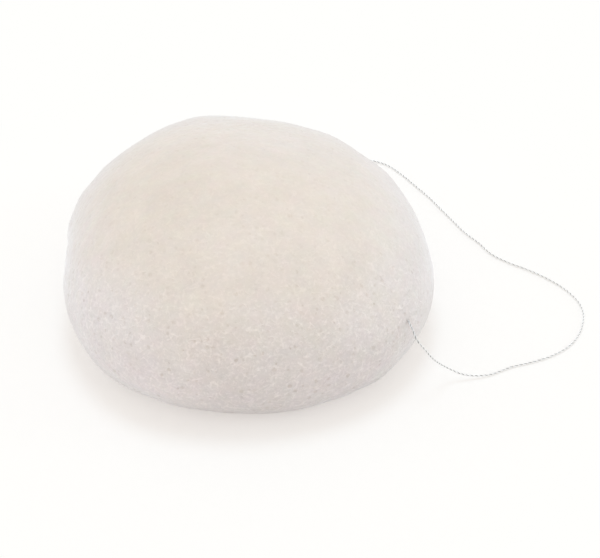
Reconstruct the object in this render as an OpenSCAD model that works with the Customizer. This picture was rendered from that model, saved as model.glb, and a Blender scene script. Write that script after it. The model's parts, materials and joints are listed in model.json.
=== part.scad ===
// Konjac sponge: a soft foam half-ball on a flat base, with a loop of thin string to hang it up by.
// Millimetres, +Z up. The origin is under the middle of the sponge, on the surface that it stands on.
// Seen from the front, -Y is near, +Y is far and the loop lies to the right.

/* [Sponge] */
// Width of the sponge across its widest ring
sponge_d = 80; // [65:1:88]
// Height of the sponge above its flat base
sponge_h = 39.5; // [32:0.5:50]
// Height of the widest ring above the flat base
rim_h = 11.5; // [8:0.5:14]
// How far the edge of the flat base lies inside the widest ring
base_in = 10; // [5:0.5:15]
// How far the top leans to the left
lean_left = 1.5; // [0:0.1:3]
// How far the top leans to the back
lean_back = 0.7; // [0:0.1:3]
// Part of the radius by which the outline swells on two sides
two_side_share = 0.013; // [0:0.0005:0.03]
// Part of the radius by which the outline swells on three sides
three_side_share = 0.0165; // [0:0.0005:0.03]
// Part of the radius by which the outline swells on four sides
four_side_share = 0.0115; // [0:0.0005:0.03]

/* [String] */
// Thickness of the string
string_d = 0.6; // [0.5:0.1:1.2]
// Gap all round the string in its channel through the foam
channel_gap = 0.1; // [0.05:0.01:0.1]
// Height of the channel above the flat base
channel_h = 15.5; // [13:0.5:19]
// Distance of the channel from the middle of the sponge
channel_off = 26.5; // [22:0.5:29]
// Angle that the channel makes with straight front to back
channel_turn = 15; // [10:1:20]
// Straight stretch of string outside each hole
lead_l = 2.4; // [2:0.1:3]

/* [Knot] */
// Distance of the knot's middle inside the back hole
knot_in = 12; // [10:0.5:20]
// Thickness of the knot
knot_d = 2.4; // [2.4:0.1:3.6]
// Length of the knot, its round ends included
knot_l = 3.6; // [3.4:0.1:5]
// Length of each cut tail beside the string
tail_l = 2.5; // [1:0.1:4]
// Gap between a tail and the string that it lies beside
tail_gap = 0.1; // [0.05:0.01:0.2]
// Gap all round the knot in its pocket in the foam
pocket_gap = 0.3; // [0.2:0.05:0.5]

/* [Hidden] */
$fn = 48;

// Steps round the sponge, and rings in its rounded edge and in its crown
around = 56;
edge_rings = 6;
crown_rings = 14;
// Sides of the loop's tube and its rings for each stretch between two points of the route
tube_sides = 8;
rings_per_point = 2;
// Halvings that find where the channel comes out through the skin
exit_steps = 30;

sponge_r = sponge_d / 2;
string_r = string_d / 2;
knot_r = knot_d / 2;
// Depth by which the foam is pressed flat where it stands
base_cut = 0.5;
// Length by which every cut runs past what it cuts
overrun = 2;
// Gap between the lying string and the surface under it
lying_gap = 0.05;

// Sides on which the outline swells, by what share of the radius, and the angle of the first swelling
swellings = [
    [2, two_side_share, -44],
    [3, three_side_share, -13],
    [4, four_side_share, -39]
];

// The loop's route from the front lead to the back lead: across, away, and the lift of the string's underside
route = [
    [35, -27, 14], [37, -27, 11], [39, -26, 7.5], [42, -24, 3.5], [46, -23.5, 1],
    [51, -22.5, 0.1], [56, -20, 0], [60.5, -18.5, 0], [65, -16.5, 0], [69, -13.5, 0],
    [71.5, -10, 0], [73, -6, 0], [73.5, -2, 0], [72.5, 2, 0], [70, 6, 0],
    [66.5, 9.5, 0], [62.5, 12.5, 0], [58.5, 15, 0], [55, 18, 0], [52.5, 22, 0],
    [49.5, 26, 0], [47, 30.5, 0], [44.5, 35, 0], [42, 39.5, 0], [39, 44, 0],
    [36, 48.5, 0], [32.5, 52.5, 0], [28, 54.5, 0], [23.5, 53.5, 0.1], [20, 50.5, 0.5],
    [18, 46.5, 2.5], [17, 43, 6], [17, 40.5, 10.5], [17.5, 38, 14]
];

// Skin of the sponge: how wide it is at a height, how it swells at an angle and how far it leans at a height
function total(list) = list * [for (v = list) 1];
function crown_r(h) = sponge_r * sqrt(max(0, 1 - pow((h - rim_h) / (sponge_h - rim_h), 2)));
function edge_r(h) = sponge_r - base_in + base_in * sqrt(max(0, 1 - pow((rim_h - h) / (rim_h + base_cut), 2)));
function skin_r(h) = h > rim_h ? crown_r(h) : edge_r(h);
function swell(a) = 1 + total([for (s = swellings) s[1] * cos(s[0] * (a - s[2]))]);
function lean(h) = pow(max(0, h) / sponge_h, 2) * [-lean_left, lean_back, 0];
function skin_point(h, a) = skin_r(h) * swell(a) * [cos(a), sin(a), 0] + [0, 0, h] + lean(h);

// Heights of the rings: under the base, where the base cut takes it off, then round the edge and up the crown
ring_heights = concat(
    [-base_cut],
    [for (i = [0 : edge_rings - 1]) rim_h * (1 - cos(90 * i / edge_rings))],
    [for (i = [0 : crown_rings - 1]) rim_h + (sponge_h - rim_h) * sin(90 * i / crown_rings)]
);
loose_skin = [for (h = ring_heights) for (i = [0 : around - 1]) skin_point(h, 360 * i / around)];
skin_x = [for (p = loose_skin) p.x];
skin_y = [for (p = loose_skin) p.y];
// Middle of the skin's own box, which goes over the origin
middle = [max(skin_x) + min(skin_x), max(skin_y) + min(skin_y), 0] / 2;

// Channel: its direction out of the front hole, its middle, and how far its two holes lie from there
front_way = [sin(channel_turn), -cos(channel_turn), 0];
channel_mid = [channel_off * cos(channel_turn), channel_off * sin(channel_turn), channel_h];
// How deep a point lies inside the skin, measured level
function depth(p) =
    let (q = p + middle - lean(p.z))
    skin_r(p.z) * swell(atan2(q.y, q.x)) - norm([q.x, q.y]);
function hole_at(way, near, far, steps) =
    let (half = (near + far) / 2)
    steps == 0 ? half
    : depth(channel_mid + half * way) > 0 ? hole_at(way, half, far, steps - 1)
    : hole_at(way, near, half, steps - 1);
front_hole = channel_mid + hole_at(front_way, 0, sponge_d, exit_steps) * front_way;
rear_hole = channel_mid - hole_at(-front_way, 0, sponge_d, exit_steps) * front_way;

// Knot: its middle on the channel, and the pocket that holds it with its tails
knot_mid = rear_hole + knot_in * front_way;
tail_off = string_d + tail_gap;
pocket_r = max(knot_r, tail_off + string_r) + pocket_gap;
pocket_l = knot_l + 2 * tail_l + 2 * pocket_gap;
// Length of the knot's straight middle, between its two round ends
knot_core_l = knot_l - knot_d;

// Smooth line of the loop, through the holes, the leads and the route
line_points = concat(
    [for (i = [0 : 2]) front_hole + i / 2 * lead_l * front_way],
    [for (p = route) p + [0, 0, string_r + lying_gap]],
    [for (i = [2 : -1 : 0]) rear_hole - i / 2 * lead_l * front_way]
);
function unit(v) = v / norm(v);
// Direction and pull of the line at one of its points
function pull(i) =
    i == 0 ? line_points[1] - line_points[0]
    : i == len(line_points) - 1 ? line_points[i] - line_points[i - 1]
    : (line_points[i + 1] - line_points[i - 1]) / 2;
// Cubic curve between point i and the next, at u from 0 to 1, and its direction there
function along(i, u) =
    let (a = line_points[i], b = line_points[i + 1], s = pull(i), t = pull(i + 1))
    a + u * s + u * u * (3 * (b - a) - 2 * s - t) + u * u * u * (2 * (a - b) + s + t);
function heading(i, u) =
    let (a = line_points[i], b = line_points[i + 1], s = pull(i), t = pull(i + 1))
    unit(s + 2 * u * (3 * (b - a) - 2 * s - t) + 3 * u * u * (2 * (a - b) + s + t));
tube_stations = concat(
    [for (i = [0 : len(line_points) - 2]) for (j = [0 : rings_per_point - 1]) [i, j / rings_per_point]],
    [[len(line_points) - 2, 1]]
);

// Turns +Z onto the channel's own direction out of the front hole
module along_channel(place) {
    translate(place) rotate([90, 0, channel_turn]) children();
}

// Closed skin from rings of the same count of points, with a flat fan below and a point on top
module ringed_skin(points, rings, count, top) {
    bottom_i = len(points);
    top_i = bottom_i + 1;
    last = (rings - 1) * count;
    bottom = [total([for (i = [0 : count - 1]) points[i].x]), total([for (i = [0 : count - 1]) points[i].y]), 0] / count
        + [0, 0, points[0].z];
    sides = [
        for (r = [0 : rings - 2]) for (i = [0 : count - 1])
            let (a = r * count + i, b = r * count + (i + 1) % count)
            for (face = [[a, a + count, b], [b, a + count, b + count]]) face
    ];
    caps = [
        for (i = [0 : count - 1])
            let (next = (i + 1) % count)
            for (face = [[i, next, bottom_i], [last + next, last + i, top_i]]) face
    ];
    polyhedron(concat(points, [bottom, top]), concat(sides, caps));
}

// Foam half-ball, pressed flat where it stands, with the string's channel and the knot's pocket
module sponge_body() {
    color("linen")
    difference() {
        ringed_skin([for (p = loose_skin) p - middle], len(ring_heights), around,
            [0, 0, sponge_h] + lean(sponge_h) - middle);
        translate([-sponge_d, -sponge_d, -sponge_d]) cube([2 * sponge_d, 2 * sponge_d, sponge_d]);
        along_channel(rear_hole - overrun * front_way)
            cylinder(h = norm(front_hole - rear_hole) + 2 * overrun, r = string_r + channel_gap);
        along_channel(knot_mid - pocket_l / 2 * front_way) cylinder(h = pocket_l, r = pocket_r);
    }
}

// Free loop of string, from the front hole along the table and back to the rear hole
module string_loop() {
    rings = [
        for (station = tube_stations)
            let (
                centre = along(station[0], station[1]),
                ahead = heading(station[0], station[1]),
                side = unit(cross(ahead, [0, 0, 1])),
                up = cross(side, ahead)
            )
            [for (k = [0 : tube_sides - 1]) centre + string_r * (cos(360 * k / tube_sides) * side
                + sin(360 * k / tube_sides) * up)]
    ];
    points = [for (ring = rings) for (p = ring) p];
    last = (len(rings) - 1) * tube_sides;
    sides = [
        for (r = [0 : len(rings) - 2]) for (i = [0 : tube_sides - 1])
            let (a = r * tube_sides + i, b = r * tube_sides + (i + 1) % tube_sides)
            for (face = [[a, b, a + tube_sides], [b, b + tube_sides, a + tube_sides]]) face
    ];
    ends = [[for (i = [tube_sides - 1 : -1 : 0]) i], [for (i = [0 : tube_sides - 1]) last + i]];
    color("gainsboro") polyhedron(points, concat(sides, ends));
}

// String in its channel, from the knot to the front hole
module front_run() {
    color("gainsboro")
    along_channel(knot_mid + knot_l / 2 * front_way)
        cylinder(h = norm(front_hole - knot_mid) - knot_l / 2, r = string_r);
}

// String in its channel, from the rear hole to the knot
module rear_run() {
    color("gainsboro") along_channel(rear_hole) cylinder(h = knot_in - knot_l / 2, r = string_r);
}

// Knot that joins the string's two ends, drawn tight, with its two cut tails
module joining_knot() {
    color("gainsboro")
    along_channel(knot_mid) {
        translate([0, 0, -knot_core_l / 2]) cylinder(h = knot_core_l, r = knot_r);
        translate([0, 0, -knot_l / 2]) cylinder(h = knot_l, r = string_r);
        for (end = [-1, 1]) {
            translate([0, 0, end * knot_core_l / 2]) sphere(r = knot_r);
            translate([end * tail_off, 0, 0]) mirror([0, 0, end < 0 ? 1 : 0])
                cylinder(h = knot_l / 2 + tail_l, r = string_r);
        }
    }
}

sponge_body();
string_loop();
front_run();
rear_run();
joining_knot();
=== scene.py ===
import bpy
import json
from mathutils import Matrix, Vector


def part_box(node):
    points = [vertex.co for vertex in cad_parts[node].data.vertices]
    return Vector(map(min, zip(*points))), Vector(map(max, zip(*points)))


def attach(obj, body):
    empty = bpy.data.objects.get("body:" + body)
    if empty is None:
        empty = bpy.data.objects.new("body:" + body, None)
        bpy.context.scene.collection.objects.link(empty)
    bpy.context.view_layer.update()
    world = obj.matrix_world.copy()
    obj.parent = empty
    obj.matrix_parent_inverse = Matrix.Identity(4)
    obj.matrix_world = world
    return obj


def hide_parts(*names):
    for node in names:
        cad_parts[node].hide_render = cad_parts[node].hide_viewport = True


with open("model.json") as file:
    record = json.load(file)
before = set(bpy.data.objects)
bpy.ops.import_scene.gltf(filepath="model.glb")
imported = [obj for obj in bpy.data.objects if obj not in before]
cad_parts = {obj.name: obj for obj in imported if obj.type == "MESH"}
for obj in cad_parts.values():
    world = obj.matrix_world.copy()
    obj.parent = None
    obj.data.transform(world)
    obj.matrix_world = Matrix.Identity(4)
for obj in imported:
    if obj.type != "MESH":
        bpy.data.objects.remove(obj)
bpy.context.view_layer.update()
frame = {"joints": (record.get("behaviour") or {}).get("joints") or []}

import json
from math import cos, pi, radians, sin

import bpy
import numpy as np
from mathutils import Vector

bl_info = {
    "name": "Konjac sponge",
    "version": (1, 0, 0),
    "blender": (4, 5, 0),
    "location": "3D View > Sidebar > Konjac sponge",
    "description": "Foam, string and stage of a konjac sponge on its hanging loop",
    "category": "Object",
}

MM = 0.001

# Stage: the point that the camera looks at, and the floor, which lies a hair under the foam's flat base.
CAMERA_AIM = np.array((11.218, 9.425, 0)) * MM
FLOOR_DROP = -0.03 * MM
FLOOR_HALF = 3.0

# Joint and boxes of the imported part, in metres.
SWING = frame["joints"][0]
CHANNEL_WAY = np.array(SWING["axis"], float)
FOAM_LOW, FOAM_HIGH = (np.array(corner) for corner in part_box("sponge_body"))
FOAM_SIZE = FOAM_HIGH - FOAM_LOW

# Route of the free loop from hole to hole, as in the part's source: across, away, and the lift of the
# string's underside, in millimetres.
ROUTE = (
    (35, -27, 14), (37, -27, 11), (39, -26, 7.5), (42, -24, 3.5), (46, -23.5, 1), (51, -22.5, 0.1),
    (56, -20, 0), (60.5, -18.5, 0), (65, -16.5, 0), (69, -13.5, 0), (71.5, -10, 0), (73, -6, 0),
    (73.5, -2, 0), (72.5, 2, 0), (70, 6, 0), (66.5, 9.5, 0), (62.5, 12.5, 0), (58.5, 15, 0),
    (55, 18, 0), (52.5, 22, 0), (49.5, 26, 0), (47, 30.5, 0), (44.5, 35, 0), (42, 39.5, 0),
    (39, 44, 0), (36, 48.5, 0), (32.5, 52.5, 0), (28, 54.5, 0), (23.5, 53.5, 0.1), (20, 50.5, 0.5),
    (18, 46.5, 2.5), (17, 43, 6), (17, 40.5, 10.5), (17.5, 38, 14),
)
FRONT_HOLE = np.array((33.5099, -22.6724, 15.5)) * MM
REAR_HOLE = np.array((18.4180, 33.6514, 15.5)) * MM
LEAD = 2.4 * MM
LYING_GAP = 0.05 * MM

# The loop's line has that many points for each stretch of its route. A strand's radius, and its distance
# from the string's middle, are that share of the string's width, so that the two strands just touch. The
# knot's middle lies that far in from the rear hole.
LINE_STEPS = 14
STRAND_SHARE = 0.205
KNOT_DEPTH = 12 * MM

# How finely each of the ball's 20 faces is split for the foam's skin, and the seed of its noises.
SKIN_SPLITS = 99
FOAM_SEED = 4.0

# Swellings of the foam's outline: on how many sides, by what share, and the angle of the first.
SWELLINGS = ((2, 0.013, -44), (3, 0.0165, -13), (4, 0.0115, -39))

# Swells and dents that shaping by hand left in the foam: the angle round the middle and the height, then
# how far one reaches and how high it stands, in degrees and millimetres.
HAND_MARKS = (
    (-5, 12, 5, 0.25), (16, 21, 5, 0.2), (29, 24, 5, 0.5), (52, 29, 5, 0.45), (84, 31, 5, -0.25),
    (113, 32, 5, 0.6), (127, 31, 5, 0.3), (141, 29, 5, -0.15), (152, 25, 2.8, 0.15), (165, 22, 5, 0.7),
    (172, 18, 2.8, 0.45), (179, 15, 2.8, -0.45), (-170, 15, 5, -0.35), (-169, 13, 2.8, 0.35),
    (-161, 12, 5, 0.15), (-138, 5, 5, 0.15), (-127, 3, 5, -0.2), (-120, 3, 2.8, -0.3), (-115, 2, 5, -0.2),
    (-105, 2, 5, -0.3), (-94, 2, 5, -0.1), (-83, 2, 5, 0.15), (-73, 3, 5, 0.3), (-51, 3, 5, 0.4),
    (-51, 3, 2.8, -0.3), (-45, 4, 2.8, 0.2), (-34, 6, 2.8, -0.2), (-28, 7, 5, -0.15), (-16, 9, 5, 0.3),
)

# Soft patches of painted light and shade, the last two painted shade round the holes: the middle and the
# reach in millimetres, then how much more red, green and blue the foam has there.
PAINTED_LIGHT_PATCHES = (
    ((-16, -5, 37), 30, (-0.041, -0.052, -0.076)),
    ((-33, -24, 12), 28, (0.055, 0.060, 0.085)),
    ((-18, -36, 9), 16, (0.030, 0.020, 0.045)),
    ((10, -38, 12), 24, (-0.035, -0.036, -0.035)),
    ((0, -40, 4), 17, (-0.055, -0.062, -0.045)),
    ((22, -32, 5), 17, (-0.055, -0.070, -0.055)),
    ((9, -8, 36), 20, (-0.008, -0.016, -0.036)),
    ((-14, 28, 24), 36, (-0.030, -0.016, 0)),
    ((-34, -20, 9), 13, (0.033, 0.041, 0.068)),
    ((35, -18, 9), 12, (0.038, 0.038, 0.050)),
    ((-38, -5, 16), 15, (-0.022, -0.028, -0.032)),
    ((28, -24, 22), 9, (-0.010, -0.016, -0.040)),
    ((29, -12, 29), 12, (-0.008, -0.008, -0.034)),
    ((9, 9, 37), 18, (-0.020, -0.014, 0)),
    ((33.5, -22.7, 15.5), 1.1, (-0.22, -0.24, -0.26)),
    ((18.4, 33.7, 15.5), 1.1, (-0.22, -0.24, -0.26)),
)


# Sizes


class KONJAC_PG_foam(bpy.types.PropertyGroup):
    """Sizes and colours of the foam half-ball"""

    width: bpy.props.FloatProperty(
        name="Width", description="Width of the half-ball from left to right",
        default=FOAM_SIZE[0], min=0.03, max=0.2, subtype="DISTANCE", unit="LENGTH")
    depth: bpy.props.FloatProperty(
        name="Depth", description="Depth of the half-ball from front to back",
        default=FOAM_SIZE[1], min=0.03, max=0.2, subtype="DISTANCE", unit="LENGTH")
    height: bpy.props.FloatProperty(
        name="Height", description="Height of the crown above the flat base",
        default=FOAM_SIZE[2], min=0.01, max=0.1, subtype="DISTANCE", unit="LENGTH")
    grain_size: bpy.props.FloatProperty(
        name="Grain size", description="Distance between the small swellings of the skin",
        default=1.2 * MM, min=0.0003, max=0.01, precision=5, subtype="DISTANCE", unit="LENGTH")
    grain_height: bpy.props.FloatProperty(
        name="Grain height", description="How far the small swellings stand up",
        default=0.13 * MM, min=0, max=0.001, precision=5, subtype="DISTANCE", unit="LENGTH")
    pore_spacing: bpy.props.FloatProperty(
        name="Pore spacing", description="Distance between the pores",
        default=1.3 * MM, min=0.0005, max=0.01, precision=5, subtype="DISTANCE", unit="LENGTH")
    pore_depth: bpy.props.FloatProperty(
        name="Pore depth", description="Depth of the pores",
        default=0.13 * MM, min=0, max=0.001, precision=5, subtype="DISTANCE", unit="LENGTH")
    unevenness: bpy.props.FloatProperty(
        name="Unevenness", description="How far the skin swells and sinks over a fingertip's width",
        default=0.30 * MM, min=0, max=0.002, precision=5, subtype="DISTANCE", unit="LENGTH")
    cream: bpy.props.FloatVectorProperty(
        name="Cream", description="Colour of the crown", subtype="COLOR", size=3, min=0, max=1,
        default=(0.795, 0.717, 0.650))
    # The sides' paler colour is partly painted sheen.
    pale: bpy.props.FloatVectorProperty(
        name="Pale", description="Colour of the sides", subtype="COLOR", size=3, min=0, max=1,
        default=(0.798, 0.737, 0.712))


class KONJAC_PG_string(bpy.types.PropertyGroup):
    """Sizes and colours of the string"""

    width: bpy.props.FloatProperty(
        name="Width", description="Width of the twisted string",
        default=0.6 * MM, min=0.0003, max=0.003, precision=5, subtype="DISTANCE", unit="LENGTH")
    lay: bpy.props.FloatProperty(
        name="Lay", description="Length of one full turn of a strand round the other",
        default=2.12 * MM, min=0.0005, max=0.01, precision=5, subtype="DISTANCE", unit="LENGTH")
    strands: bpy.props.IntProperty(
        name="Strands", description="Strands twisted into the string", default=2, min=2, max=4)
    shade: bpy.props.FloatVectorProperty(
        name="Shade", description="Colour of the string", subtype="COLOR", size=3, min=0, max=1,
        default=(0.99, 0.985, 0.975))


class KONJAC_PG_stage(bpy.types.PropertyGroup):
    """Floor, light and camera"""

    sky: bpy.props.FloatProperty(
        name="Sky", description="Strength of the even light from all sides", default=0.825, min=0, max=2)
    lamp: bpy.props.FloatProperty(
        name="Lamp", description="Power of the soft lamp above the sponge",
        default=1.7, min=0, max=50, unit="POWER")
    side_lamp: bpy.props.FloatProperty(
        name="Side lamps", description="Power of the low lamp on the right; the left one is weaker",
        default=0.6, min=0, max=50, unit="POWER")
    floor: bpy.props.FloatVectorProperty(
        name="Floor", description="Colour of the floor", subtype="COLOR", size=3, min=0, max=1,
        default=(0.86, 0.86, 0.85))
    camera_distance: bpy.props.FloatProperty(
        name="Camera distance", description="Distance from the camera to the point that it looks at",
        default=0.376, min=0.1, max=3, subtype="DISTANCE", unit="LENGTH")
    camera_elevation: bpy.props.FloatProperty(
        name="Camera elevation", description="Angle at which the camera looks down",
        default=radians(40), min=0, max=pi / 2, subtype="ANGLE", unit="ROTATION")


# Node building


def add_node(tree, kind, values=None, **settings):
    """A node of that kind, with its settings made and its sockets, by name or number, set or linked."""
    node = tree.nodes.new(kind)
    for name, value in settings.items():
        setattr(node, name, value)
    for key, value in (values or {}).items():
        socket = node.inputs[key]
        if isinstance(value, bpy.types.NodeSocket):
            tree.links.new(value, socket)
        else:
            socket.default_value = value
    return node


def maths(tree, operation, *values):
    """The result of a Math node on the values, which are numbers or sockets."""
    return add_node(tree, "ShaderNodeMath", dict(enumerate(values)), operation=operation).outputs[0]


def vector_maths(tree, operation, *values):
    """The vector or length from a Vector Math node on the values, which are vectors, numbers or sockets."""
    node = tree.nodes.new("ShaderNodeVectorMath")
    node.operation = operation
    for i, value in enumerate(values):
        socket = node.inputs["Scale"] if operation == "SCALE" and i == 1 else node.inputs[i]
        if isinstance(value, bpy.types.NodeSocket):
            tree.links.new(value, socket)
        else:
            socket.default_value = value
    return node.outputs["Value"] if operation in ("LENGTH", "DISTANCE") else node.outputs[0]


def spread(tree, value, low, high, to_low=0.0, to_high=1.0, smooth=False):
    """The value moved from one range to another, and held inside it."""
    kind = "SMOOTHSTEP" if smooth else "LINEAR"
    return add_node(tree, "ShaderNodeMapRange", {
        "Value": value, "From Min": low, "From Max": high, "To Min": to_low, "To Max": to_high,
    }, interpolation_type=kind, clamp=True).outputs["Result"]


def noise(tree, place, scale, detail=2.0, roughness=0.5, distortion=0.0, seed=None, kind="FBM"):
    """A noise from 0 to 1 at that place."""
    values = {"Vector": place, "Scale": scale, "Detail": detail, "Roughness": roughness,
              "Distortion": distortion}
    if seed is not None:
        values["W"] = seed
    return add_node(tree, "ShaderNodeTexNoise", values, noise_type=kind,
                    noise_dimensions="3D" if seed is None else "4D")


def object_place(tree):
    """Where a point of the surface lies on its piece."""
    return tree.nodes.new("ShaderNodeTexCoord").outputs["Object"]


def kept_value(tree, name, output="Fac"):
    """The value that a piece keeps on its points under that name."""
    return add_node(tree, "ShaderNodeAttribute", attribute_name=name).outputs[output]


def seen_share(tree):
    """1 for what the camera sees, straight, in a gloss or through glass, and 0 for light on its way."""
    path = tree.nodes.new("ShaderNodeLightPath").outputs
    return maths(tree, "MAXIMUM", path["Is Camera Ray"],
                 maths(tree, "MAXIMUM", path["Is Glossy Ray"], path["Is Transmission Ray"]))


def keep(tree, geometry, name, value, kind="FLOAT"):
    """The geometry with that value kept on its points under that name."""
    return add_node(tree, "GeometryNodeStoreNamedAttribute", {
        "Geometry": geometry, "Name": name, "Value": value}, data_type=kind, domain="POINT").outputs[0]


def end_tree(tree, geometry, material, result):
    """Ends a geometry tree with smooth shading, real geometry and the material."""
    smooth = add_node(tree, "GeometryNodeSetShadeSmooth", {"Geometry": geometry}).outputs[0]
    real = add_node(tree, "GeometryNodeRealizeInstances", {"Geometry": smooth}).outputs[0]
    done = add_node(tree, "GeometryNodeSetMaterial", {"Geometry": real, "Material": material}).outputs[0]
    tree.links.new(done, result[0])


def new_geometry_tree(name, inputs):
    """A geometry tree with these named inputs, the sockets that they come from and those that it ends in."""
    tree = bpy.data.node_groups.new(name, "GeometryNodeTree")
    tree.is_modifier = True
    tree.interface.new_socket(name="Geometry", in_out="INPUT", socket_type="NodeSocketGeometry")
    tree.interface.new_socket(name="Geometry", in_out="OUTPUT", socket_type="NodeSocketGeometry")
    for title, kind in inputs:
        tree.interface.new_socket(name=title, in_out="INPUT", socket_type=kind)
    return tree, tree.nodes.new("NodeGroupInput").outputs, tree.nodes.new("NodeGroupOutput").inputs


def run_geometry_tree(body, tree, values):
    """Runs the tree on the object and returns a new object that holds the result as a plain mesh."""
    modifier = body.modifiers.new(tree.name, "NODES")
    modifier.node_group = tree
    for item in tree.interface.items_tree:
        if item.item_type == "SOCKET" and item.in_out == "INPUT" and item.name in values:
            modifier[item.identifier] = values[item.name]
    depsgraph = bpy.context.evaluated_depsgraph_get()
    mesh = bpy.data.meshes.new_from_object(
        body.evaluated_get(depsgraph), preserve_all_data_layers=True, depsgraph=depsgraph)
    name = body.name
    data = body.data
    store = bpy.data.curves if isinstance(data, bpy.types.Curve) else bpy.data.meshes
    body.modifiers.remove(modifier)
    bpy.data.objects.remove(body)
    store.remove(data)
    mesh.name = name
    if not len(mesh.polygons):
        raise RuntimeError(f"{name} came out of its tree without a face")
    made = bpy.data.objects.new(name, mesh)
    bpy.context.scene.collection.objects.link(made)
    return made


def new_material(name):
    """A material with an empty node tree, its tree and its output node's inputs."""
    material = bpy.data.materials.new(name)
    material.use_nodes = True
    material.node_tree.nodes.clear()
    return material, material.node_tree, material.node_tree.nodes.new("ShaderNodeOutputMaterial").inputs


# Finishes


def curls(tree, place, scale, width):
    """Short winding lines, from 0 beside them to 1 along their middle."""
    winding = noise(tree, place, scale, 1, 0.4, 0.5).outputs["Fac"]
    away = maths(tree, "ABSOLUTE", maths(tree, "SUBTRACT", winding, 0.5))
    gaps = spread(tree, noise(tree, place, scale * 1.4, 1, 0.5).outputs["Fac"], 0.45, 0.58, smooth=True)
    return maths(tree, "MULTIPLY", spread(tree, away, width, 0.0, smooth=True), gaps)


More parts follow.
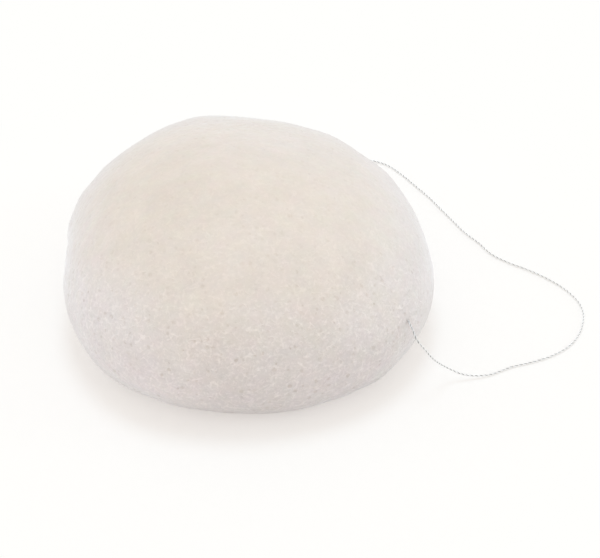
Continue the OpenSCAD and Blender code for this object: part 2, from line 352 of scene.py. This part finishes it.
def foam_material(sizes):
    """Matt open foam: cream crown, paler sides (partly painted sheen), mottled, curled fibres, pores darkened
    by painted shade.
    """
    material, tree, out = new_material("konjac_foam")
    place = object_place(tree)
    pore = kept_value(tree, "pore")
    grain = kept_value(tree, "grain")

    # The cream of the crown turns pale with the distance from a point inside it; the paler sides are partly
    # the foam's own tone and partly painted sheen.
    _, depth, height = add_node(tree, "ShaderNodeSeparateXYZ", {0: place}).outputs
    crown_middle = (-0.002, -0.006, 0.034)
    away = vector_maths(tree, "DISTANCE", place, crown_middle)
    patches = noise(tree, place, 60, 2, 0.5).outputs["Fac"]
    away = maths(tree, "ADD", away, spread(tree, patches, 0.3, 0.7, -0.003, 0.003))
    rim = spread(tree, away, 0.024, 0.040, smooth=True)
    base = add_node(tree, "ShaderNodeMix", {"Factor": rim}, data_type="RGBA")
    base.inputs[6].default_value = (*sizes.cream, 1)
    base.inputs[7].default_value = (*sizes.pale, 1)

    # Spots, fibres and pits: the first number of each is how many fit in a metre.
    grey = (0.5, 0.5, 0.5)
    speck = noise(tree, place, 1300, 2, 0.6, 0.3).outputs["Fac"]
    curl = curls(tree, place, 540, 0.08)
    fine_curl = curls(tree, place, 1000, 0.10)
    mottle = noise(tree, place, 260, 2, 0.75).outputs["Fac"]
    cloud = noise(tree, place, 125, 1, 0.5).outputs["Fac"]
    bend = vector_maths(tree, "SUBTRACT", noise(tree, place, 900, 1, 0.5).outputs["Color"], grey)
    bent = vector_maths(tree, "ADD", place, vector_maths(tree, "SCALE", bend, 0.9 * MM))
    cells = add_node(tree, "ShaderNodeTexVoronoi", {"Vector": bent, "Scale": 760.0}, feature="F1")
    chance, size, _ = add_node(tree, "ShaderNodeSeparateColor", {0: cells.outputs["Color"]}).outputs
    pit = maths(tree, "SUBTRACT", spread(tree, size, 0, 1, 0.22, 0.5), cells.outputs["Distance"])
    dot = maths(tree, "MULTIPLY", spread(tree, pit, 0.0, 0.25, smooth=True),
                spread(tree, chance, 0.3, 1.0))

    # The bump is rougher low down and towards the front and the back; there the marks' colour contrast is
    # also raised, painted shade of the light that grazes those sides.
    ends = spread(tree, maths(tree, "ABSOLUTE", depth), 0.0, 0.030, 0.52, 1.0, smooth=True)
    rough_and_shade = maths(tree, "MULTIPLY", spread(tree, height, 0.017, 0.034, 1.17, 0.50, smooth=True), ends)

    # How much lighter or darker each of them makes the foam.
    light = maths(tree, "MULTIPLY", maths(tree, "SUBTRACT", speck, 0.5), 0.16)
    light = maths(tree, "ADD", light, maths(tree, "MULTIPLY", curl, 0.088))
    light = maths(tree, "ADD", light, maths(tree, "MULTIPLY", fine_curl, 0.078))
    # Painted shade darkens the pits.
    light = maths(tree, "SUBTRACT", light, maths(tree, "MULTIPLY", dot, 0.12))
    light = maths(tree, "MULTIPLY", light, rough_and_shade)
    light = maths(tree, "ADD", light, spread(tree, mottle, 0.3, 0.7, -0.016, 0.016))
    light = maths(tree, "ADD", light, spread(tree, cloud, 0.3, 0.7, -0.015, 0.015))
    # Painted shade: darker over the lowest millimetres, next to the floor.
    light = maths(tree, "ADD", light, spread(tree, height, 0.001, 0.009, -0.05, 0, smooth=True))
    # Painted shade darkens the pores sunk by the relief tree.
    light = maths(tree, "SUBTRACT", light, maths(tree, "MULTIPLY", pore, 0.03))
    light = maths(tree, "ADD", light, spread(tree, grain, 0, 1, -0.01, 0.01))

    # Faint tints, warmer pits and the soft patches of painted light and shade.
    tint = vector_maths(tree, "SUBTRACT", noise(tree, place, 330, 1, 0.5).outputs["Color"], grey)
    tint = vector_maths(tree, "SCALE", tint, 0.05)
    warm = vector_maths(tree, "SCALE", (0.00, -0.02, -0.05), maths(tree, "MULTIPLY", dot, rough_and_shade))
    gain = vector_maths(tree, "ADD", vector_maths(tree, "ADD", tint, warm),
                        maths(tree, "ADD", light, 1.0))
    # Each soft patch adds its painted light and shade to the gain.
    for middle, reach, shade in PAINTED_LIGHT_PATCHES:
        far = vector_maths(tree, "DISTANCE", place, tuple(v * MM for v in middle))
        share = spread(tree, far, reach * MM, 0, smooth=True)
        gain = vector_maths(tree, "ADD", gain, vector_maths(tree, "SCALE", shade, share))
    colour = vector_maths(tree, "MULTIPLY", base.outputs[2], gain)

    relief = maths(tree, "ADD", maths(tree, "MULTIPLY", speck, 0.6), maths(tree, "MULTIPLY", curl, 0.35))
    relief = maths(tree, "SUBTRACT", relief, maths(tree, "MULTIPLY", dot, 0.5))
    relief = maths(tree, "MULTIPLY", relief, spread(tree, rough_and_shade, 0.3, 1.0, 0.25, 0.95))
    bump = add_node(tree, "ShaderNodeBump", {"Height": relief, "Strength": 0.7, "Distance": 0.2 * MM})
    shader = add_node(tree, "ShaderNodeBsdfPrincipled", {
        "Base Color": colour, "Roughness": 0.92, "Specular IOR Level": 0.25, "IOR": 1.4,
        "Sheen Weight": 1.0, "Sheen Roughness": 0.4, "Sheen Tint": (1, 1, 1, 1),
        "Normal": bump.outputs[0],
    })
    tree.links.new(shader.outputs[0], out[0])
    return material


def string_material(sizes):
    """Matt spun thread: fine fibres wind along each strand, with painted shade in the groove, and darker near
    the front hole.
    """
    material, tree, out = new_material("spun_string")
    side = kept_value(tree, "strand_side", "Vector")
    along = kept_value(tree, "strand_along")
    outer = kept_value(tree, "strand_out")
    fibre_turn, fibre_stretch = 2600, 320
    wound = add_node(tree, "ShaderNodeVectorRotate", {
        "Vector": side, "Angle": maths(tree, "MULTIPLY", along, fibre_turn), "Axis": (0, 0, 1),
    }, rotation_type="AXIS_ANGLE").outputs[0]
    onward = add_node(tree, "ShaderNodeCombineXYZ", {
        "Z": maths(tree, "MULTIPLY", along, fibre_stretch)}).outputs[0]
    place = vector_maths(tree, "ADD", vector_maths(tree, "MULTIPLY", wound, (1, 1, 0)), onward)
    fibres = noise(tree, place, 4.5, 3, 0.6).outputs["Fac"]
    spots = noise(tree, object_place(tree), 400, 2, 0.5).outputs["Fac"]

    groove_low, groove_high = 0.20, 0.50
    darker_end, even_start = 4.5 * MM, 6.5 * MM
    light = maths(tree, "MULTIPLY", spread(tree, fibres, 0.25, 0.75, 0.96, 1.02),
                  spread(tree, spots, 0.3, 0.7, 0.98, 1.01))
    # Painted shade in the groove between the strands.
    light = maths(tree, "MULTIPLY", light, spread(tree, outer, groove_low, groove_high))
    # Darker over the first few millimetres from the front hole.
    light = maths(tree, "MULTIPLY", light,
                  spread(tree, along, darker_end, even_start, 0.80, 1.0, smooth=True))
    colour = vector_maths(tree, "SCALE", tuple(sizes.shade), light)
    bump = add_node(tree, "ShaderNodeBump", {"Height": fibres, "Strength": 0.5, "Distance": 0.05 * MM})
    shader = add_node(tree, "ShaderNodeBsdfPrincipled", {
        "Base Color": colour, "Roughness": 0.85, "Specular IOR Level": 0.3,
        "Sheen Weight": 0.2, "Sheen Roughness": 0.5, "Normal": bump.outputs[0],
    })
    tree.links.new(shader.outputs[0], out[0])
    return material


def floor_material(colour):
    """Plain floor: to the camera it glows just enough to read white, and keeps the warm soft shadow."""
    material, tree, out = new_material("white_floor")
    plain = add_node(tree, "ShaderNodeBsdfDiffuse", {"Color": (*colour, 1)})
    # The lit part is bluer than the glow, so the shadow reads warm: painted warm bounce light in the shadow.
    lit = add_node(tree, "ShaderNodeBsdfDiffuse", {"Color": (0.497, 0.519, 0.513, 1)})
    glow = add_node(tree, "ShaderNodeEmission", {"Color": (0.501, 0.465, 0.450, 1), "Strength": 1.0})
    near = add_node(tree, "ShaderNodeAddShader", {0: lit.outputs[0], 1: glow.outputs[0]})
    far = add_node(tree, "ShaderNodeEmission", {"Color": (1, 1, 0.982, 1), "Strength": 1.0})
    fade_start, fade_end = 62 * MM, 95 * MM
    fade = spread(tree, vector_maths(tree, "LENGTH", object_place(tree)), fade_start, fade_end, smooth=True)
    shown = add_node(tree, "ShaderNodeMixShader", {0: fade, 1: near.outputs[0], 2: far.outputs[0]})
    mixed = add_node(tree, "ShaderNodeMixShader", {
        0: seen_share(tree), 1: plain.outputs[0], 2: shown.outputs[0]})
    tree.links.new(mixed.outputs[0], out[0])
    return material


# Form


def string_line(width, steps):
    """The loop's smooth middle line: the part's own cubic curve, that many points for each stretch."""
    lift = width / 2 + LYING_GAP
    points = [FRONT_HOLE + i / 2 * LEAD * CHANNEL_WAY for i in range(3)]
    points += [np.array(p) * MM + (0, 0, lift) for p in ROUTE]
    points += [REAR_HOLE - i / 2 * LEAD * CHANNEL_WAY for i in (2, 1, 0)]
    points = np.array(points)
    pulls = np.empty_like(points)
    pulls[1:-1] = (points[2:] - points[:-2]) / 2
    pulls[0] = points[1] - points[0]
    pulls[-1] = points[-1] - points[-2]
    u = np.arange(steps)[:, None] / steps
    line = []
    for a, b, s, t in zip(points[:-1], points[1:], pulls[:-1], pulls[1:]):
        line.append(a + u * s + u ** 2 * (3 * (b - a) - 2 * s - t) + u ** 3 * (2 * (a - b) + s + t))
    return np.vstack([*line, points[-1:]])


def geodesic(frequency):
    """Unit directions spread evenly over a ball, and the triangles between them."""
    g = (1 + 5 ** 0.5) / 2
    corners = np.array([(0, 1, g), (0, 1, -g), (0, -1, g), (0, -1, -g), (1, g, 0), (1, -g, 0),
                        (-1, g, 0), (-1, -g, 0), (g, 0, 1), (-g, 0, 1), (g, 0, -1), (-g, 0, -1)], float)
    corners /= np.linalg.norm(corners[0])
    gaps = np.linalg.norm(corners[:, None] - corners[None], axis=2)
    edge = 1.1
    near = (gaps > 0) & (gaps < edge)
    faces = [(a, b, c) for a in range(12) for b in range(a + 1, 12) for c in range(b + 1, 12)
             if near[a, b] and near[b, c] and near[a, c]]
    points, triangles = [], []
    for face in faces:
        a, b, c = corners[list(face)]
        if np.dot(np.cross(b - a, c - a), a) < 0:
            b, c = c, b
        start = sum(len(p) for p in points)
        rows, index = [], {}
        for i in range(frequency + 1):
            for j in range(frequency + 1 - i):
                index[i, j] = start + len(rows)
                rows.append(a + (b - a) * i / frequency + (c - a) * j / frequency)
        points.append(np.array(rows))
        for i in range(frequency):
            for j in range(frequency - i):
                triangles.append((index[i, j], index[i + 1, j], index[i, j + 1]))
                if i + j < frequency - 1:
                    triangles.append((index[i + 1, j], index[i + 1, j + 1], index[i, j + 1]))
    points = np.vstack(points)
    points /= np.linalg.norm(points, axis=1)[:, None]
    _, first, again = np.unique(np.round(points, 7), axis=0, return_index=True, return_inverse=True)
    return points[first], again.reshape(-1)[np.array(triangles)]


def foam_profile(count=600):
    """Radii and heights down the foam's side from the middle of the crown to the edge of its base."""
    radius, height, rim, tuck, cut = 40 * MM, 39.5 * MM, 11.5 * MM, 10 * MM, 0.5 * MM
    turn = np.linspace(0, pi / 2, count)
    crown = np.stack([radius * np.sin(turn), rim + (height - rim) * np.cos(turn)], 1)
    low = rim * np.cos(turn[1:])
    edge = radius - tuck + tuck * np.sqrt(1 - ((rim - low) / (rim + cut)) ** 2)
    return np.vstack([crown, np.stack([edge, low], 1)])


def foam_skin(sizes, frequency):
    """Points and triangles of the foam's smooth closed skin, in its box."""
    directions, triangles = geodesic(frequency)
    polar = np.arccos(np.clip(directions[:, 2], -1, 1))
    angle = np.arctan2(directions[:, 1], directions[:, 0])
    profile = foam_profile()
    step = np.linalg.norm(np.diff(profile, axis=0), axis=1)
    area = np.concatenate([[0], np.cumsum(step * (profile[1:, 0] + profile[:-1, 0]))])
    edge_polar = radians(135)
    share = np.clip((1 - np.cos(polar)) / (1 - cos(edge_polar)), 0, 1) * area[-1]
    under = polar > edge_polar
    inward = np.sqrt((1 + np.cos(polar)) / (1 + cos(edge_polar)))
    radius = np.where(under, profile[-1, 0] * inward, np.interp(share, area, profile[:, 0]))
    height = np.where(under, 0, np.interp(share, area, profile[:, 1]))
    swell = 1 + sum(part * np.cos(sides * (angle - radians(turn))) for sides, part, turn in SWELLINGS)
    crown_lean = np.array((-1.5, 0.7, 0))
    lean = (height / profile[0, 1])[:, None] ** 2 * crown_lean * MM
    points = np.stack([radius * swell * np.cos(angle), radius * swell * np.sin(angle), height], 1) + lean
    low, high = points.min(0), points.max(0)
    size = np.array((sizes.width, sizes.depth, sizes.height))
    middle = np.array((*(FOAM_LOW + FOAM_HIGH)[:2] / 2, FOAM_LOW[2] + size[2] / 2))
    return middle + (points - (low + high) / 2) * size / (high - low), triangles


def hand_marks(points, triangles):
    """The skin with the swells and dents of the hand that shaped it; its base stays flat."""
    a, b, c = (points[triangles[:, i]] for i in range(3))
    facing = np.cross(b - a, c - a)
    normals = np.zeros_like(points)
    for i in range(3):
        np.add.at(normals, triangles[:, i], facing)
    normals /= np.linalg.norm(normals, axis=1)[:, None]
    angle = np.degrees(np.arctan2(points[:, 1], points[:, 0]))
    near_turn, near_height, flat_height = 3, 1.5 * MM, 0.3 * MM
    rise = np.zeros(len(points))
    for turn, height, reach, push in HAND_MARKS:
        beside = np.abs((angle - turn + 180) % 360 - 180) < near_turn
        level = np.abs(points[:, 2] - height * MM) < near_height
        far = np.linalg.norm(points - points[beside & level].mean(0), axis=1)
        rise += push * MM * np.exp(-(far / (reach * MM)) ** 2)
    marked = points + rise[:, None] * normals
    marked[:, 2] = np.where(points[:, 2] < flat_height, points[:, 2], marked[:, 2])
    return marked


def hole_dimples(points):
    """The points, drawn into the foam round the two holes of the string, in a narrow and a wide dimple."""
    dimples = ((0.25 * MM, 0.7 * MM), (0.15 * MM, 3.0 * MM))
    for hole, inward in ((FRONT_HOLE, -CHANNEL_WAY), (REAR_HOLE, CHANNEL_WAY)):
        far = np.linalg.norm(points - hole, axis=1)
        depth = sum(deep * np.exp(-(far / reach) ** 2) for deep, reach in dimples)
        points = points + depth[:, None] * inward
    return points


def relief_tree():
    """Geometry tree that gives a smooth skin its unevenness, grains and pores over a flat base."""
    tree, source, result = new_geometry_tree("Foam relief", (
        ("Unevenness", "NodeSocketFloat"), ("Grain size", "NodeSocketFloat"),
        ("Grain height", "NodeSocketFloat"), ("Pore spacing", "NodeSocketFloat"),
        ("Pore depth", "NodeSocketFloat"), ("Seed", "NodeSocketFloat"), ("Foam", "NodeSocketMaterial")))
    place = tree.nodes.new("GeometryNodeInputPosition").outputs[0]
    normal = tree.nodes.new("GeometryNodeInputNormal").outputs[0]
    height = add_node(tree, "ShaderNodeSeparateXYZ", {0: place}).outputs[2]
    seed = source["Seed"]
    above = spread(tree, height, 0.4 * MM, 6 * MM, smooth=True)

    broad = noise(tree, place, 48, 1.5, 0.5, seed=seed).outputs["Fac"]
    grain = noise(tree, place, maths(tree, "DIVIDE", 1, source["Grain size"]), 2.5, 0.55, 0.5,
                  seed=seed).outputs["Fac"]
    ridge = noise(tree, place, maths(tree, "DIVIDE", 0.7, source["Grain size"]), 1, 0.5, 0.8,
                  seed=seed, kind="RIDGED_MULTIFRACTAL").outputs["Fac"]
    cells = add_node(tree, "ShaderNodeTexVoronoi", {
        "Vector": place, "Scale": maths(tree, "DIVIDE", 1, source["Pore spacing"]), "Randomness": 1.0,
    }, feature="F1", voronoi_dimensions="3D")
    chance = add_node(tree, "ShaderNodeSeparateXYZ", {0: cells.outputs["Color"]}).outputs[0]
    pore = maths(tree, "MULTIPLY", spread(tree, cells.outputs["Distance"], 0.40, 0.05, smooth=True),
                 spread(tree, chance, 0.35, 0.9))
    swell = maths(tree, "MULTIPLY", spread(tree, broad, 0.3, 0.7, -0.5, 0.5), source["Unevenness"])
    bead = maths(tree, "MULTIPLY", spread(tree, grain, 0.25, 0.75, -0.5, 0.5), source["Grain height"])
    fold = maths(tree, "MULTIPLY", spread(tree, ridge, 0.5, 1.6, 0, 0.7), source["Grain height"])
    up = maths(tree, "MULTIPLY", maths(tree, "ADD", maths(tree, "ADD", bead, swell), fold), above)
    move = maths(tree, "SUBTRACT", up, maths(tree, "MULTIPLY", pore, source["Pore depth"]))
    moved = add_node(tree, "GeometryNodeSetPosition", {
        "Geometry": source["Geometry"], "Offset": vector_maths(tree, "SCALE", normal, move)}).outputs[0]
    kept = keep(tree, moved, "pore", pore)
    kept = keep(tree, kept, "grain", spread(tree, grain, 0.25, 0.75))
    raised = vector_maths(tree, "MAXIMUM", place, (-9, -9, 0))
    settled = add_node(tree, "GeometryNodeSetPosition", {"Geometry": kept, "Position": raised}).outputs[0]
    end_tree(tree, settled, source["Foam"], result)
    return tree


def twist_tree():
    """Geometry tree that lays twisted strands along a curve."""
    tree, source, result = new_geometry_tree("Twisted string", (
        ("Width", "NodeSocketFloat"), ("Lay", "NodeSocketFloat"), ("Strands", "NodeSocketInt"),
        ("Step", "NodeSocketFloat"), ("String", "NodeSocketMaterial")))
    spaced = add_node(tree, "GeometryNodeResampleCurve", {
        "Curve": source["Geometry"], "Length": source["Step"]}, mode="LENGTH").outputs[0]
    several = add_node(tree, "GeometryNodeDuplicateElements", {
        "Geometry": spaced, "Amount": source["Strands"]}, domain="SPLINE")
    length = tree.nodes.new("GeometryNodeSplineParameter").outputs["Length"]
    turns = maths(tree, "ADD", maths(tree, "DIVIDE", length, source["Lay"]),
                  maths(tree, "DIVIDE", several.outputs["Duplicate Index"], source["Strands"]))
    turn = maths(tree, "MULTIPLY", turns, 2 * pi)
    normal = tree.nodes.new("GeometryNodeInputNormal").outputs[0]
    tangent = tree.nodes.new("GeometryNodeInputTangent").outputs[0]
    third = vector_maths(tree, "CROSS_PRODUCT", tangent, normal)
    way = vector_maths(tree, "ADD",
                       vector_maths(tree, "SCALE", normal, maths(tree, "COSINE", turn)),
                       vector_maths(tree, "SCALE", third, maths(tree, "SINE", turn)))
    place = tree.nodes.new("GeometryNodeInputPosition").outputs[0]
    strand = maths(tree, "MULTIPLY", source["Width"], STRAND_SHARE)
    kept = keep(tree, several.outputs[0], "strand_along", length)
    kept = keep(tree, kept, "string_middle", place, "FLOAT_VECTOR")
    wound = add_node(tree, "GeometryNodeSetPosition", {
        "Geometry": kept, "Offset": vector_maths(tree, "SCALE", way, strand)}).outputs[0]
    ring = add_node(tree, "GeometryNodeCurvePrimitiveCircle", {
        "Resolution": 10, "Radius": strand}, mode="RADIUS").outputs[0]
    ring = keep(tree, ring, "strand_side", vector_maths(tree, "NORMALIZE", place), "FLOAT_VECTOR")
    tube = add_node(tree, "GeometryNodeCurveToMesh", {
        "Curve": wound, "Profile Curve": ring, "Fill Caps": True}).outputs[0]
    middle = add_node(tree, "GeometryNodeInputNamedAttribute", {"Name": "string_middle"},
                      data_type="FLOAT_VECTOR").outputs["Attribute"]
    away = vector_maths(tree, "DISTANCE", place, middle)
    outer = maths(tree, "DIVIDE", away, maths(tree, "MULTIPLY", source["Width"], 0.5))
    end_tree(tree, keep(tree, tube, "strand_out", outer), source["String"], result)
    return tree


def lay_string(name, lines, sizes, material):
    """A piece of twisted string along each of the lines, as one plain mesh."""
    curve = bpy.data.curves.new(name, "CURVE")
    curve.dimensions = "3D"
    curve.twist_mode = "MINIMUM"
    for line in lines:
        spline = curve.splines.new("POLY")
        spline.points.add(len(line) - 1)
        places = np.hstack([line, np.ones((len(line), 1))])
        spline.points.foreach_set("co", places.astype(np.float32).ravel())
    body = bpy.data.objects.new(name, curve)
    bpy.context.scene.collection.objects.link(body)
    tree = bpy.data.node_groups.get("Twisted string") or twist_tree()
    steps_per_turn = 12
    return run_geometry_tree(body, tree, {
        "Width": sizes.width, "Lay": sizes.lay, "Strands": sizes.strands,
        "Step": sizes.lay / steps_per_turn, "String": material})


def knotted_line(hole, way, width):
    """Middle line of one string end: along the channel, wound round the other end, then its cut tail."""
    middle = REAR_HOLE + KNOT_DEPTH * CHANNEL_WAY
    across = np.array((-CHANNEL_WAY[1], CHANNEL_WAY[0], 0)) * np.sign(np.dot(way, CHANNEL_WAY))
    up = np.array((0, 0, 1.0))
    straight = [hole + (middle + width * way - hole) * t for t in np.linspace(0, 1, 30)[:-1]]

    # The coil swings out over its first part, then moves on a little more than a width each turn.
    turns, swing_out, coil_radius = 2.5, 0.14, 1.06 * width
    first_widths, turn_widths = 1.25, 1.05
    coil = []
    for t in np.linspace(0, 1, 90):
        begun = min(1, t / swing_out)
        wound = max(0, t - swing_out) / (1 - swing_out)
        turn = 2 * pi * turns * t + pi / 2
        at = width * (1 - first_widths * begun - turn_widths * turns * wound)
        outward = cos(turn) * across + sin(turn) * up
        coil.append(middle + at * way + coil_radius * begun ** 0.8 * outward)
    tail_start, tail_more = 1.2 * MM, 2.5 * MM
    tail = [coil[-1] - way * (tail_start + tail_more * t) * t for t in np.linspace(0, 1, 12)[1:]]
    return np.array(straight + coil + tail)


# Making


def set_camera(scene, sizes):
    """Places the camera in front, at its height angle and distance."""
    tilt = sizes.camera_elevation
    camera = bpy.data.objects.new("camera", bpy.data.cameras.new("camera"))
    camera.data.lens = 100
    camera.data.sensor_width = 36
    camera.data.sensor_fit = "HORIZONTAL"
    camera.data.clip_start = 0.01
    camera.data.clip_end = 20
    camera.location = CAMERA_AIM + sizes.camera_distance * np.array((0, -cos(tilt), sin(tilt)))
    camera.rotation_euler = (pi / 2 - tilt, 0, 0)
    scene.collection.objects.link(camera)
    scene.camera = camera


def set_sky(scene, sizes):
    """Warm even light from all sides, in front of a white background."""
    world = bpy.data.worlds.new("even_light")
    world.use_nodes = True
    tree = world.node_tree
    tree.nodes.clear()
    even = add_node(tree, "ShaderNodeBackground", {
        "Color": (1, 0.961, 0.913, 1), "Strength": sizes.sky})
    white = add_node(tree, "ShaderNodeBackground", {"Color": (1, 1, 0.98, 1), "Strength": 1})
    mixed = add_node(tree, "ShaderNodeMixShader", {
        0: seen_share(tree), 1: even.outputs[0], 2: white.outputs[0]})
    tree.links.new(mixed.outputs[0], tree.nodes.new("ShaderNodeOutputWorld").inputs[0])
    scene.world = world


def set_lamps(scene, sizes):
    """Hangs one soft round lamp above the sponge and one low on each side, all turned to it."""
    cool, cooler = (0.708, 0.854, 1), (0.50, 0.78, 1)
    left_share = 0.55
    for name, power, colour, place in (
            ("top_lamp", sizes.lamp, cool, (0, 0.139, 0.788)),
            ("right_lamp", sizes.side_lamp, cooler, (0.773, 0, 0.207)),
            ("left_lamp", left_share * sizes.side_lamp, cooler, (-0.773, 0, 0.207))):
        lamp = bpy.data.lights.new(name, "AREA")
        lamp.shape = "DISK"
        lamp.size = 0.3
        lamp.energy = power
        lamp.color = colour
        soft = bpy.data.objects.new(name, lamp)
        soft.location = place
        soft.rotation_euler = (-Vector(place)).to_track_quat("-Z", "Y").to_euler()
        scene.collection.objects.link(soft)


def lay_floor(scene, sizes):
    """Lays one wide square of floor."""
    mesh = bpy.data.meshes.new("floor")
    corners = [(x * FLOOR_HALF, y * FLOOR_HALF, FLOOR_DROP) for x, y in ((-1, -1), (1, -1), (1, 1), (-1, 1))]
    mesh.from_pydata(corners, [], [(0, 1, 2, 3)])
    mesh.materials.append(floor_material(sizes.floor))
    floor = bpy.data.objects.new("floor", mesh)
    scene.collection.objects.link(floor)


class KONJAC_OT_stage(bpy.types.Operator):
    """Set the camera, the soft light and the white floor"""

    bl_idname = "konjac.stage"
    bl_label = "Set the stage"

    def execute(self, context):
        scene = context.scene
        sizes = scene.konjac_stage
        scene.view_settings.view_transform = "Standard"
        set_camera(scene, sizes)
        set_sky(scene, sizes)
        set_lamps(scene, sizes)
        lay_floor(scene, sizes)
        return {"FINISHED"}


class KONJAC_OT_loop(bpy.types.Operator):
    """Lay the free loop of twisted string from hole to hole"""

    bl_idname = "konjac.loop"
    bl_label = "Lay the loop"

    def execute(self, context):
        sizes = context.scene.konjac_string
        material = bpy.data.materials.get("spun_string") or string_material(sizes)
        line = string_line(sizes.width, LINE_STEPS)
        loop = lay_string("hanging_loop", [line], sizes, material)
        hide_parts("string_loop")
        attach(loop, "loop")
        return {"FINISHED"}


class KONJAC_OT_knot(bpy.types.Operator):
    """Lay the string inside the foam, with the knot that joins its ends"""

    bl_idname = "konjac.knot"
    bl_label = "Tie the knot"

    def execute(self, context):
        sizes = context.scene.konjac_string
        material = bpy.data.materials.get("spun_string") or string_material(sizes)
        lines = [knotted_line(FRONT_HOLE, CHANNEL_WAY, sizes.width),
                 knotted_line(REAR_HOLE, -CHANNEL_WAY, sizes.width)]
        knot = lay_string("knotted_ends", lines, sizes, material)
        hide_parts("front_run", "rear_run", "joining_knot")
        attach(knot, "loop")
        return {"FINISHED"}


class KONJAC_OT_foam(bpy.types.Operator):
    """Form the foam half-ball with its pores and grains"""

    bl_idname = "konjac.foam"
    bl_label = "Form the foam"

    def execute(self, context):
        sizes = context.scene.konjac_foam
        points, triangles = foam_skin(sizes, SKIN_SPLITS)
        points = hole_dimples(hand_marks(points, triangles))
        mesh = bpy.data.meshes.new("foam_half_ball")
        mesh.from_pydata(points.tolist(), [], triangles.tolist())
        mesh.update()
        body = bpy.data.objects.new("foam_half_ball", mesh)
        context.scene.collection.objects.link(body)
        foam = run_geometry_tree(body, relief_tree(), {
            "Unevenness": sizes.unevenness, "Grain size": sizes.grain_size,
            "Grain height": sizes.grain_height, "Pore spacing": sizes.pore_spacing,
            "Pore depth": sizes.pore_depth, "Seed": FOAM_SEED, "Foam": foam_material(sizes)})
        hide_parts("sponge_body")
        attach(foam, "sponge")
        return {"FINISHED"}


class KONJAC_PT_sidebar(bpy.types.Panel):
    """Sizes, colours and making steps of the sponge"""

    bl_idname = "KONJAC_PT_sidebar"
    bl_label = "Konjac sponge"
    bl_space_type = "VIEW_3D"
    bl_region_type = "UI"
    bl_category = "Konjac sponge"

    def draw(self, context):
        scene = context.scene
        groups = ((scene.konjac_stage, ("konjac.stage",)),
                  (scene.konjac_string, ("konjac.loop", "konjac.knot")),
                  (scene.konjac_foam, ("konjac.foam",)))
        for group, operators in groups:
            box = self.layout.box()
            for name in group.bl_rna.properties.keys():
                if name not in ("rna_type", "name"):
                    box.prop(group, name)
            for operator in operators:
                box.operator(operator)


CLASSES = (KONJAC_PG_foam, KONJAC_PG_string, KONJAC_PG_stage, KONJAC_OT_stage, KONJAC_OT_loop,
           KONJAC_OT_knot, KONJAC_OT_foam, KONJAC_PT_sidebar)


def register():
    for cls in CLASSES:
        bpy.utils.register_class(cls)
    bpy.types.Scene.konjac_foam = bpy.props.PointerProperty(type=KONJAC_PG_foam)
    bpy.types.Scene.konjac_string = bpy.props.PointerProperty(type=KONJAC_PG_string)
    bpy.types.Scene.konjac_stage = bpy.props.PointerProperty(type=KONJAC_PG_stage)


def unregister():
    del bpy.types.Scene.konjac_stage, bpy.types.Scene.konjac_string, bpy.types.Scene.konjac_foam
    for cls in reversed(CLASSES):
        bpy.utils.unregister_class(cls)


def main():
    """Make every piece in order."""
    register()
    for make in (bpy.ops.konjac.stage, bpy.ops.konjac.loop, bpy.ops.konjac.knot, bpy.ops.konjac.foam):
        make()
    bpy.context.view_layer.update()


if __name__ == "__main__":
    main()
